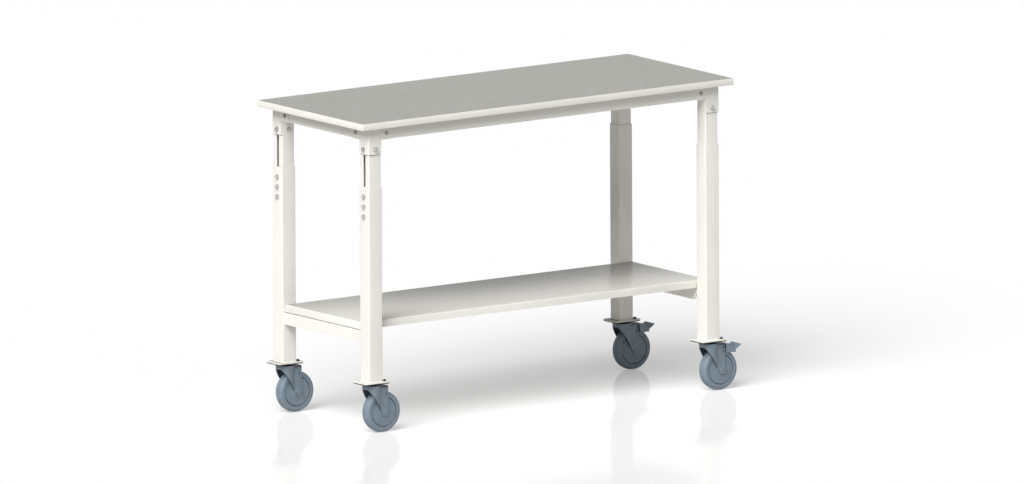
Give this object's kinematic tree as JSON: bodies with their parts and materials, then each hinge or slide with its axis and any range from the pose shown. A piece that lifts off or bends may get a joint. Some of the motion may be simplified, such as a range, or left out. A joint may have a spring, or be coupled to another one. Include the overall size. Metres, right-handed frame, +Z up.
{
  "type": "assembly table",
  "caption": "Mobile work table with a laminated top on telescopic square steel legs, a folded steel lower shelf and swivel casters, the right-hand pair with brake pedals.",
  "frame": {"origin": "on the floor, under the middle of the box that holds the whole table", "axes": "+X along the worktop towards the braked casters, +Y to the back, +Z up"},
  "size_m": [1.545, 0.6, 1.0436],
  "materials": {
    "laminate": "grey decor laminate with a fine pearl texture",
    "edge_band": "warm white plastic edge band, satin",
    "chipboard": "raw pressed chipboard",
    "frame_paint": "warm white powder coat, fine orange peel, satin gloss",
    "fastener_zinc": "bright zinc plate",
    "caster_steel": "zinc plate, slightly dull",
    "caster_housing": "blue-grey moulded plastic, matte",
    "tyre_rubber": "blue-grey thermoplastic rubber, matte"
  },
  "bodies": {
    "lower_frame": {"outer_leg_front_left": "frame_paint", "outer_leg_front_right": "frame_paint", "outer_leg_back_left": "frame_paint", "outer_leg_back_right": "frame_paint", "clamp_screws_front_left": "fastener_zinc", "clamp_screws_front_right": "fastener_zinc", "clamp_screws_back_left": "fastener_zinc", "clamp_screws_back_right": "fastener_zinc", "lower_shelf": "frame_paint", "shelf_rail_left": "frame_paint", "shelf_rail_right": "frame_paint", "caster_mount_front_left": "caster_steel", "caster_mount_front_right": "caster_steel", "caster_mount_back_left": "caster_steel", "caster_mount_back_right": "caster_steel"},
    "upper_frame": {"worktop_core": "chipboard", "worktop_laminate": "laminate", "worktop_edge_band": "edge_band", "front_rail": "frame_paint", "back_rail": "frame_paint", "left_end_rail": "frame_paint", "right_end_rail": "frame_paint", "corner_bracket_front_left": "frame_paint", "corner_bracket_front_right": "frame_paint", "corner_bracket_back_left": "frame_paint", "corner_bracket_back_right": "frame_paint", "inner_leg_front_left": "frame_paint", "inner_leg_front_right": "frame_paint", "inner_leg_back_left": "frame_paint", "inner_leg_back_right": "frame_paint", "leg_bolts_front_left": "fastener_zinc", "leg_bolts_front_right": "fastener_zinc", "leg_bolts_back_left": "fastener_zinc", "leg_bolts_back_right": "fastener_zinc", "long_rail_bolt_front_left": "fastener_zinc", "long_rail_bolt_front_right": "fastener_zinc", "long_rail_bolt_back_left": "fastener_zinc", "long_rail_bolt_back_right": "fastener_zinc", "end_rail_bolt_front_left": "fastener_zinc", "end_rail_bolt_front_right": "fastener_zinc", "end_rail_bolt_back_left": "fastener_zinc", "end_rail_bolt_back_right": "fastener_zinc"},
    "fork_front_left": {"caster_fork_front_left": "caster_housing", "wheel_axle_front_left": "caster_housing"},
    "wheel_front_left": {"wheel_hub_front_left": "caster_housing", "wheel_tyre_front_left": "tyre_rubber"},
    "fork_front_right": {"caster_fork_front_right": "caster_housing", "wheel_axle_front_right": "caster_housing"},
    "wheel_front_right": {"wheel_hub_front_right": "caster_housing", "wheel_tyre_front_right": "tyre_rubber"},
    "pedal_front_right": {"brake_pedal_front_right": "caster_housing"},
    "fork_back_left": {"caster_fork_back_left": "caster_housing", "wheel_axle_back_left": "caster_housing"},
    "wheel_back_left": {"wheel_hub_back_left": "caster_housing", "wheel_tyre_back_left": "tyre_rubber"},
    "fork_back_right": {"caster_fork_back_right": "caster_housing", "wheel_axle_back_right": "caster_housing"},
    "wheel_back_right": {"wheel_hub_back_right": "caster_housing", "wheel_tyre_back_right": "tyre_rubber"},
    "pedal_back_right": {"brake_pedal_back_right": "caster_housing"}
  },
  "joints": [
    {"name": "height_adjust", "type": "slide", "parent": "lower_frame", "child": "upper_frame", "axis": [0, 0, 1], "range_m": [-0.105, 0.1]},
    {"name": "swivel_front_left", "type": "hinge", "parent": "lower_frame", "child": "fork_front_left", "pos_m": [-0.7035, -0.246, 0], "axis": [0, 0, 1], "continuous": true},
    {"name": "wheel_spin_front_left", "type": "hinge", "parent": "fork_front_left", "child": "wheel_front_left", "pos_m": [-0.6655, -0.246, 0.0685], "axis": [0, 1, 0], "continuous": true},
    {"name": "swivel_front_right", "type": "hinge", "parent": "lower_frame", "child": "fork_front_right", "pos_m": [0.6585, -0.246, 0], "axis": [0, 0, 1], "continuous": true},
    {"name": "wheel_spin_front_right", "type": "hinge", "parent": "fork_front_right", "child": "wheel_front_right", "pos_m": [0.6965, -0.246, 0.0685], "axis": [0, 1, 0], "continuous": true},
    {"name": "brake_front_right", "type": "hinge", "parent": "fork_front_right", "child": "pedal_front_right", "pos_m": [0.705, -0.246, 0.143], "axis": [0, 1, 0], "range_deg": [0, 10]},
    {"name": "swivel_back_left", "type": "hinge", "parent": "lower_frame", "child": "fork_back_left", "pos_m": [-0.7035, 0.246, 0], "axis": [0, 0, 1], "continuous": true},
    {"name": "wheel_spin_back_left", "type": "hinge", "parent": "fork_back_left", "child": "wheel_back_left", "pos_m": [-0.6655, 0.246, 0.0685], "axis": [0, 1, 0], "continuous": true},
    {"name": "swivel_back_right", "type": "hinge", "parent": "lower_frame", "child": "fork_back_right", "pos_m": [0.6585, 0.246, 0], "axis": [0, 0, 1], "continuous": true},
    {"name": "wheel_spin_back_right", "type": "hinge", "parent": "fork_back_right", "child": "wheel_back_right", "pos_m": [0.6965, 0.246, 0.0685], "axis": [0, 1, 0], "continuous": true},
    {"name": "brake_back_right", "type": "hinge", "parent": "fork_back_right", "child": "pedal_back_right", "pos_m": [0.705, 0.246, 0.143], "axis": [0, 1, 0], "range_deg": [0, 10]}
  ]
}
